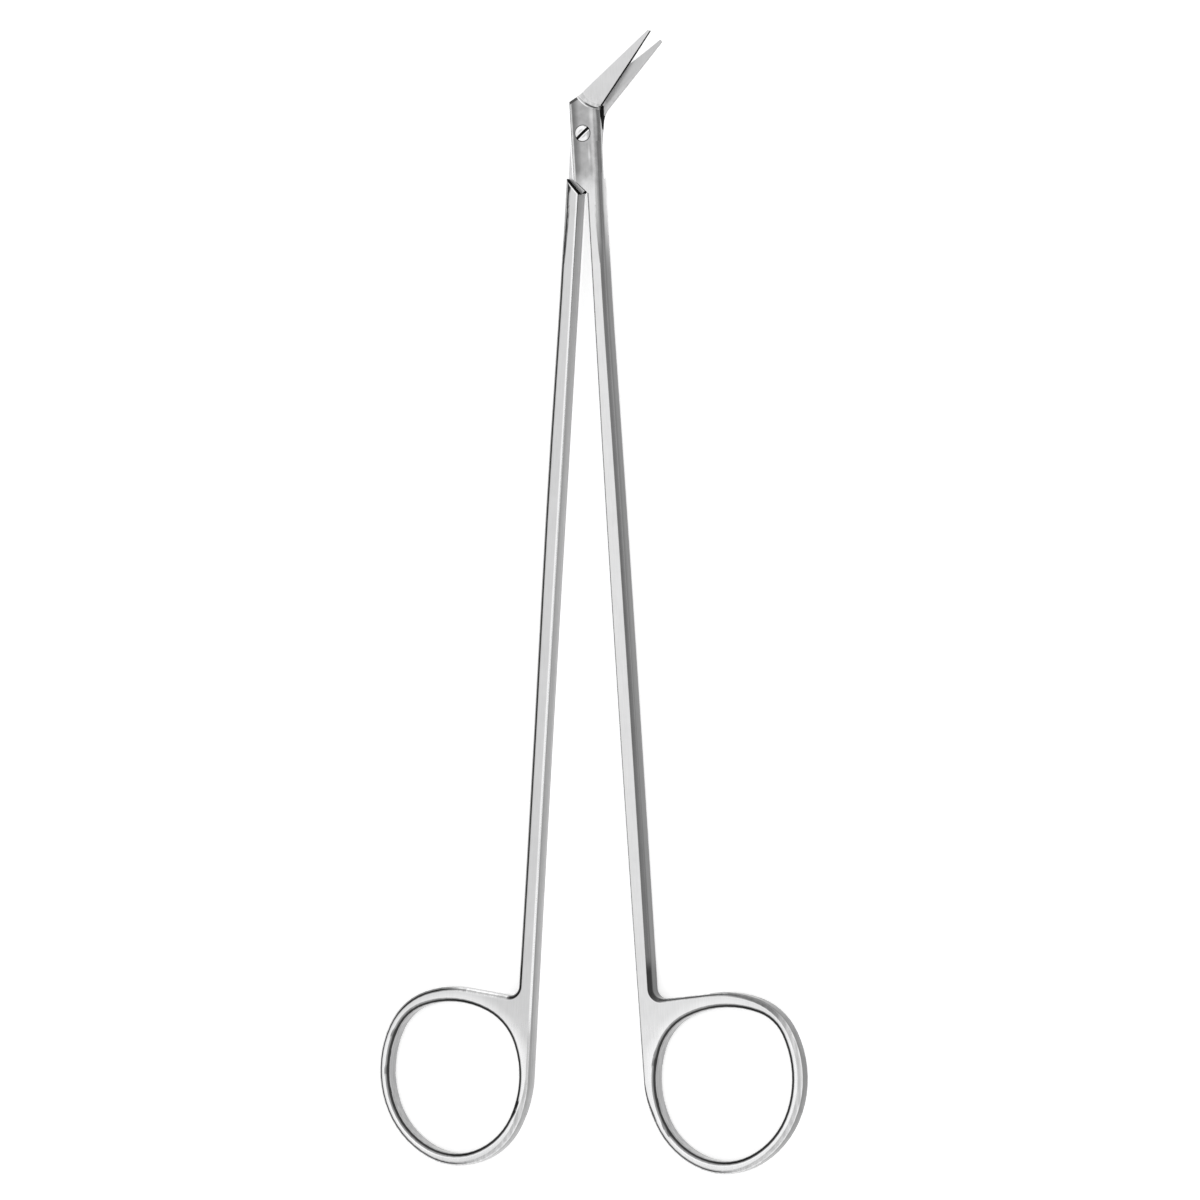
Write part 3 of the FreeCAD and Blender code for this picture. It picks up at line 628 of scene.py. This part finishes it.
def painted_wall_shade(masks, settings):
    """Painted shade on the side walls, paler towards the floor, and on the hole's and the
    crook's walls.
    """
    rise = masks.height.step(*WALL_HEIGHT).between(*WALL_TOP_TO_FOOT)
    shade = rise * settings.painted_wall_shade * masks.outward.between(*WALL_INNER_TO_OUTER)
    at_joint = masks.height.step(*JOINT_WALL_HEIGHT).between(*JOINT_WALL_SHADES)
    shade = shade.blend(at_joint, masks.near_joint).blend(HOLE_WALL_SHADE, masks.hole)
    return shade.blend(CROOK_WALL_SHADE, masks.crook * CROOK_WALL_STRENGTH)


def painted_edge_shade(masks):
    """Painted highlights and painted shade on the rounded edges: bright on the inner side,
    dark on the outer and round the hole.
    """
    # painted shade on the block's edges and painted highlights and shade on blade, ring and
    # crook edges
    at_joint = masks.level.step(*ROUNDED).between(*JOINT_EDGE_SHADES)
    outer = masks.near_joint.between(OUTER_EDGE_SHADE, at_joint)
    shade = masks.outward.between(INNER_EDGE_SHADE, outer)
    shade = shade.blend(BLADE_EDGE_SHADE, masks.blade).blend(RING_EDGE_SHADE, masks.ring)
    hole_line = masks.level.band(*HOLE_LINE).between(*HOLE_EDGE_SHADES)
    return shade.blend(hole_line, masks.hole).blend(CROOK_EDGE_SHADE, masks.crook)


def groove_mask(masks, top, foot):
    """1 in the narrow groove that runs from its top to its foot at the blade's heel, where
    painted shade goes.
    """
    (top_x, top_y), (foot_x, foot_y) = top, foot
    slope = (foot_x - top_x) / (foot_y - top_y)
    middle_x = (masks.y - top_y) * slope + top_x
    beside = abs(masks.x - middle_x).step(*GROOVE_ACROSS)
    along = masks.y.band(foot_y, top_y + GROOVE_RISE, GROOVE_SOFT)
    return beside * along * masks.z.step(*GROOVE_TOP) * masks.z.step(*GROOVE_FLOOR)


def painted_recess_mask(masks, half):
    """Where painted shade goes: 1 on the wall by the cutting edge, in the slot and in the
    groove.
    """
    beyond_root = masks.x * half["side"] + masks.y - BLADE_ROOT
    depth = BLADE_TOP - beyond_root * BLADE_FALL - masks.z
    cutting = masks.cutting * depth.step(*CUTTING_DEPTH)
    painted_recess = (cutting + masks.slot).math("MINIMUM", 1.0)
    if half["groove"]:
        painted_recess = painted_recess.math("MAXIMUM", groove_mask(masks, *half["groove"]))
    return painted_recess


def half_shade(masks, half, painted_recess, settings):
    """How light each part of a half is, from 0 to about 1, mostly painted highlights and
    painted shade.
    """
    shade = painted_edge_shade(masks).blend(flat_shade(masks, half, settings), masks.flat)
    shade = shade.blend(painted_wall_shade(masks, settings), masks.upright)
    # painted shade on the blade's spine and its other walls
    other_wall = masks.blade_wall * (1.0 - masks.spine)
    shade = shade.blend(SPINE_SHADE, masks.spine).blend(BLADE_WALL_SHADE, other_wall)
    # painted highlight along the scoop's rim and painted shade along its foot
    if half["painted_scoop_lines"]:
        low_part = masks.y.step(*SCOOP_LINES_END) * masks.upward
        rim = masks.scoop_reach.band(*RIM_REACH) * masks.x.step(*RIM_ACROSS) * low_part
        foot = masks.scoop_reach.band(*FOOT_REACH) * masks.x.step(*FOOT_ACROSS) * low_part
        shade = shade.blend(RIM_SHADE, rim).blend(FOOT_SHADE, foot)
    # painted shade in the slot, the groove and on the wall by the cutting edge
    return shade.blend(settings.painted_recess_shade, painted_recess)


def lines_along(shader, along, spacing, stretch, noise):
    """Noise in lines along the half, stretched by 1 / stretch."""
    scale = (1.0 / spacing, stretch / spacing, 1.0 / spacing)
    drawn_out = shader.node(
        "ShaderNodeMapping", {"vector_type": "POINT"}, {"Vector": along, "Scale": scale}
    )
    return shader.noise(drawn_out, *noise)


def steel_material(name, half, settings):
    """Satin flats, walls darkened by painted shade, polished rounded edges and finger rings,
    ground blades.
    """
    material, shader = new_material(name)
    along, place, facing = own_frame(shader, half)
    masks = HalfMasks(shader, place, facing, half)
    painted_recess = painted_recess_mask(masks, half)
    shade = half_shade(masks, half, painted_recess, settings)

    spacing = settings.grain_spacing
    grain = lines_along(shader, along, spacing, GRAIN_STRETCH, GRAIN_NOISE)
    wide = STREAK_WIDTH * spacing
    streaks = lines_along(shader, along, wide, STREAK_STRETCH, STREAK_NOISE)
    grain_swing = grain - NOISE_MIDDLE
    cloud_swing = shader.noise(along, *CLOUD_NOISE) - NOISE_MIDDLE
    mottle_swing = shader.noise(along, *MOTTLE_NOISE) - NOISE_MIDDLE
    uneven = (
        grain_swing * GRAIN_SHADING
        + cloud_swing * CLOUD_SHADING
        + mottle_swing * masks.y.band(*MOTTLE_ALONG) * MOTTLE_SHADING
        + (streaks - NOISE_MIDDLE) * (1.0 - masks.flat) * STREAK_SHADING
    )
    shade = (shade * (1.0 + uneven)).math("MINIMUM", 1.0)

    smooth = settings.polish_roughness
    satin = settings.satin_roughness
    rough = masks.flat.between(smooth, satin)
    rough = rough + masks.blade * (settings.blade_roughness - satin) * masks.flat
    rough = rough - masks.ring * masks.flat * (satin - smooth) * RING_POLISH
    rough = rough + grain_swing * GRAIN_GLOSS * masks.flat + cloud_swing * CLOUD_GLOSS

    height = grain * settings.grain_depth * masks.flat
    steel_surface(shader, shade, painted_recess, rough, height, settings)
    return material


def screw_material(settings):
    """A turned and polished head with a painted highlight ring, painted shade on one side, a
    painted highlight beside the slot, and painted shade in the driver slot and round the rim.
    """
    material, shader = new_material("turned_steel")
    x, y, z = shader.split(shader.object_place())
    nz = shader.split(shader.facing())[2]
    radius = shader.length(x, y)
    turned = (radius * (2.0 * math.pi / TURNING_PITCH)).math("SINE")
    aside = abs(x * math.sin(SLOT_ANGLE) - y * math.cos(SLOT_ANGLE))

    # painted highlight in a ring round the middle of the head
    shade = radius.step(*HEAD_REACH).between(*HEAD_SHADES)
    # painted shade on one side of the head
    shaded_side = (x + y * HEAD_SIDE_SLOPE).step(*HEAD_SHADED_SIDE)
    shade = shade.blend(HEAD_SIDE_SHADE, shaded_side)
    # painted highlight beside the slot, then painted shade round the rim
    shade = shade.blend(LIP_SHADE, aside.band(*LIP_ASIDE))
    shade = shade.blend(HEAD_RIM_SHADE, radius.step(*HEAD_RIM_REACH))

    # painted shade over the driver slot
    sunk = z.step(*SUNK_HEIGHT) + nz.step(*SUNK_FACING)
    sunk = sunk.math("MAXIMUM", aside.step(*SUNK_ASIDE)).math("MINIMUM", 1.0)
    slot = sunk * aside.step(*DRIVER_SLOT_ASIDE) * z.step(*DRIVER_SLOT_FLOOR)
    shade = shade.blend(settings.painted_recess_shade, slot)
    rough = SCREW_ROUGHNESS + turned * TURNING_GLOSS
    steel_surface(shader, shade, slot, rough, turned * TURNING_DEPTH, settings)
    return material


class SCISSORS_OT_front_half(bpy.types.Operator):
    """Give the front half its satin and polished steel"""

    bl_idname = "scissors.front_half"
    bl_label = "Front Half"

    def execute(self, context):
        steel = context.scene.scissors.steel
        dress("front_half", steel_material("front_half_steel", FRONT, steel))
        return {"FINISHED"}


class SCISSORS_OT_back_half(bpy.types.Operator):
    """Give the back half its satin and polished steel"""

    bl_idname = "scissors.back_half"
    bl_label = "Back Half"

    def execute(self, context):
        steel = context.scene.scissors.steel
        dress("back_half", steel_material("back_half_steel", BACK, steel))
        return {"FINISHED"}


class SCISSORS_OT_pivot_screw(bpy.types.Operator):
    """Give the pivot screw its turned and polished steel"""

    bl_idname = "scissors.pivot_screw"
    bl_label = "Pivot Screw"

    def execute(self, context):
        dress("pivot_screw", screw_material(context.scene.scissors.steel))
        return {"FINISHED"}


# Stage


def plain_mesh(name, points, faces, material):
    mesh = bpy.data.meshes.new(name)
    mesh.from_pydata(points, [], faces)
    mesh.materials.append(material)
    made = bpy.data.objects.new(name, mesh)
    bpy.context.scene.collection.objects.link(made)
    return made


def softbox(name, place, target, size, watts):
    """A rectangular lamp that faces the target."""
    lamp = bpy.data.lights.new(name, "AREA")
    lamp.shape = "RECTANGLE"
    lamp.size, lamp.size_y = size
    lamp.energy = watts
    made = bpy.data.objects.new(name, lamp)
    made.location = place
    away = Vector(place) - Vector(target)
    made.rotation_euler = away.to_track_quat("Z", "Y").to_euler()
    bpy.context.scene.collection.objects.link(made)


def seen_rays(shader):
    """Two masks: rays that see directly, in metal or through glass, and the direct ones."""
    path = shader.add("ShaderNodeLightPath")
    direct, in_metal, through_glass = [
        Value(shader, path.outputs[name])
        for name in ("Is Camera Ray", "Is Glossy Ray", "Is Transmission Ray")
    ]
    return (direct + in_metal + through_glass).math("MINIMUM", 1.0), direct


def make_world(scene):
    """Pale all round, dark low down on the left, with a white backdrop where it is seen."""
    world = bpy.data.worlds.new("studio")
    scene.world = world
    world.use_nodes = True
    shader = Shader(world.node_tree)
    x, _, z = shader.split(shader.node("ShaderNodeTexCoord", output=0))
    seen, direct = seen_rays(shader)
    low = z.step(*LOW_DOWN)
    level = low.between(SKY_OVERHEAD, SKY_LOW).blend(SKY_LOW_LEFT, x.step(*LEFT_SIDE) * low)
    white = (z.step(*HORIZON) * seen + direct).math("MINIMUM", 1.0)
    surface = shader.node(
        "ShaderNodeBackground", {}, {"Color": WHITE, "Strength": level.blend(1.0, white)}
    )
    shader.add("ShaderNodeOutputWorld", {}, {"Surface": surface})


def make_floor(settings):
    """A pale floor that looks white and keeps the shadow."""
    material, shader = new_material("pale_floor")
    seen, _ = seen_rays(shader)
    mottle = shader.noise(shader.object_place(), *FLOOR_NOISE)
    diffuse = shader.node(
        "ShaderNodeBsdfPrincipled",
        {},
        {
            "Base Color": tuple(settings.floor_colour) + (1.0,),
            "Roughness": FLOOR_ROUGHNESS + mottle * FLOOR_MOTTLE,
            "Specular IOR Level": 0.0,
        },
    )
    glow = shader.node(
        "ShaderNodeEmission", {}, {"Color": WHITE, "Strength": seen * FLOOR_GLOW}
    )
    both = shader.node("ShaderNodeAddShader", {}, {0: diffuse, 1: glow})
    shader.add("ShaderNodeOutputMaterial", {}, {"Surface": both})
    reach = settings.floor_size / 2.0
    level = CAD_BOX[0][2] - FLOOR_GAP
    corners = ((-1.0, -1.0), (1.0, -1.0), (1.0, 1.0), (-1.0, 1.0))
    points = [(x * reach, y * reach, level) for x, y in corners]
    floor = plain_mesh("floor", points, [(0, 1, 2, 3)], material)


def make_camera(scene, settings):
    """A long lens, leaning to the right of straight above, with the blades at the top."""
    lean = settings.view_tilt
    back = Vector((math.sin(lean), 0.0, math.cos(lean)))
    up = Vector((0.0, 1.0, 0.0))
    right = up.cross(back)
    target = Vector(settings.view_target)
    lens = bpy.data.cameras.new("camera")
    lens.sensor_width = SENSOR_WIDTH
    lens.lens = SENSOR_WIDTH * settings.view_distance / settings.view_width
    lens.clip_start = CLIP_START
    lens.clip_end = CLIP_END
    camera = bpy.data.objects.new("camera", lens)
    turn = Matrix((right, up, back)).transposed().to_4x4()
    camera.matrix_world = Matrix.Translation(target + back * settings.view_distance) @ turn
    scene.collection.objects.link(camera)
    scene.camera = camera


class SCISSORS_OT_stage(bpy.types.Operator):
    """Lay the floor, set the lamp and place the camera"""

    bl_idname = "scissors.stage"
    bl_label = "Stage"

    def execute(self, context):
        scene = context.scene
        settings = scene.scissors.stage
        for name in ("Cube", "Light", "Camera"):
            spare = bpy.data.objects.get(name)
            if spare is not None:
                bpy.data.objects.remove(spare, do_unlink=True)
        scene.view_settings.view_transform = "Standard"
        make_world(scene)
        make_floor(settings)
        softbox("overhead_lamp", LAMP_PLACE, settings.view_target, LAMP_SIZE, LAMP_WATTS)
        make_camera(scene, settings)
        return {"FINISHED"}


class SCISSORS_PT_panel(bpy.types.Panel):
    """Finishes and stage of the scissors"""

    bl_idname = "SCISSORS_PT_panel"
    bl_label = "Scissors"
    bl_space_type = "VIEW_3D"
    bl_region_type = "UI"
    bl_category = "Scissors"

    def draw(self, context):
        settings = context.scene.scissors
        for group in (settings.steel, settings.stage):
            column = self.layout.column(align=True)
            for name in group.bl_rna.properties.keys():
                if name not in ("rna_type", "name"):
                    column.prop(group, name)
        for operator in OPERATORS:
            self.layout.operator(operator.bl_idname)


OPERATORS = (
    SCISSORS_OT_stage,
    SCISSORS_OT_front_half,
    SCISSORS_OT_back_half,
    SCISSORS_OT_pivot_screw,
)
CLASSES = (SteelSettings, StageSettings, ScissorsSettings) + OPERATORS + (SCISSORS_PT_panel,)


def register():
    for made in CLASSES:
        bpy.utils.register_class(made)
    bpy.types.Scene.scissors = bpy.props.PointerProperty(type=ScissorsSettings)


def unregister():
    del bpy.types.Scene.scissors
    for made in reversed(CLASSES):
        bpy.utils.unregister_class(made)


def main():
    register()
    bpy.ops.scissors.stage()
    bpy.ops.scissors.front_half()
    bpy.ops.scissors.back_half()
    bpy.ops.scissors.pivot_screw()


if __name__ == "__main__":
    main()
